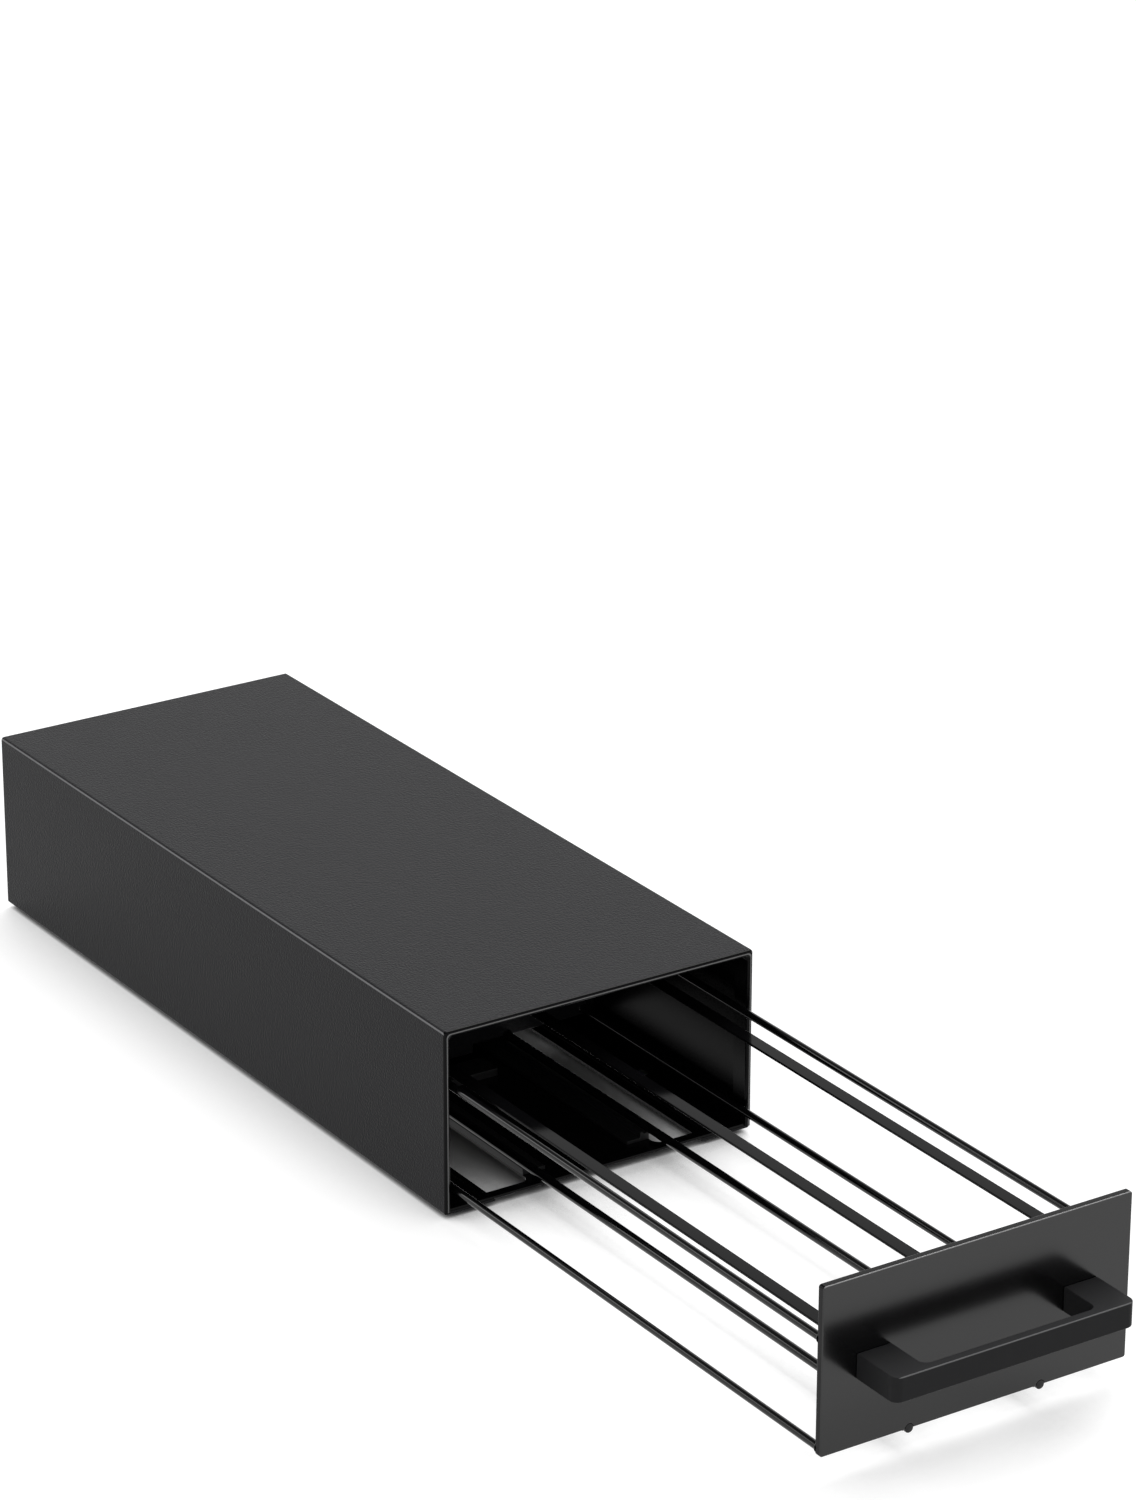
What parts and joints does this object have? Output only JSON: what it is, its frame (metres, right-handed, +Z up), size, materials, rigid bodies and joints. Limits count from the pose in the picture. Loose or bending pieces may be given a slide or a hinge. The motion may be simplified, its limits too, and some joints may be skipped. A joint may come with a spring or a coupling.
{
  "type": "coffee pod drawer",
  "caption": "Low sheet metal housing with a wire drawer that slides out of its front and holds coffee pods by their rims in rows, under a coffee maker.",
  "frame": {"origin": "on the surface the feet stand on, below the middle of the whole object with its drawer open", "axes": "+X right seen from the front, +Y to the back, +Z up; the drawer slides out along -Y"},
  "size_m": [0.1374, 0.6, 0.0766],
  "materials": {
    "housing_paint": "fine-textured satin powder coat",
    "plate_paint": "satin powder coat",
    "handle_paint": "satin powder coat",
    "wire_paint": "semi-gloss dip coat",
    "nylon": "moulded, matte",
    "rubber": "matte",
    "fastener_steel": "zinc plated"
  },
  "bodies": {
    "housing": {"housing_shell": "housing_paint", "back_panel": "housing_paint", "bottom_tray": "housing_paint", "tray_rivets": "fastener_steel", "guide_rail_left": "nylon", "guide_rail_right": "nylon", "stop_block": "nylon", "bumper_left": "rubber", "bumper_right": "rubber", "foot_front_left": "rubber", "foot_front_right": "rubber", "foot_rear_left": "rubber", "foot_rear_right": "rubber"},
    "drawer": {"front_plate": "plate_paint", "handle": "handle_paint", "handle_screws": "fastener_steel", "rear_plate": "housing_paint", "strip_left": "wire_paint", "strip_centre": "wire_paint", "strip_right": "wire_paint", "upper_wire_left": "wire_paint", "upper_wire_right": "wire_paint", "lower_wire_left": "wire_paint", "lower_wire_right": "wire_paint", "bottom_wire_left": "wire_paint", "bottom_wire_right": "wire_paint", "top_glide_left": "nylon", "top_glide_right": "nylon"}
  },
  "joints": [
    {"name": "drawer_slide", "type": "slide", "parent": "housing", "child": "drawer", "axis": [0, -1, 0], "range_m": [-0.2308, 0.008]}
  ]
}
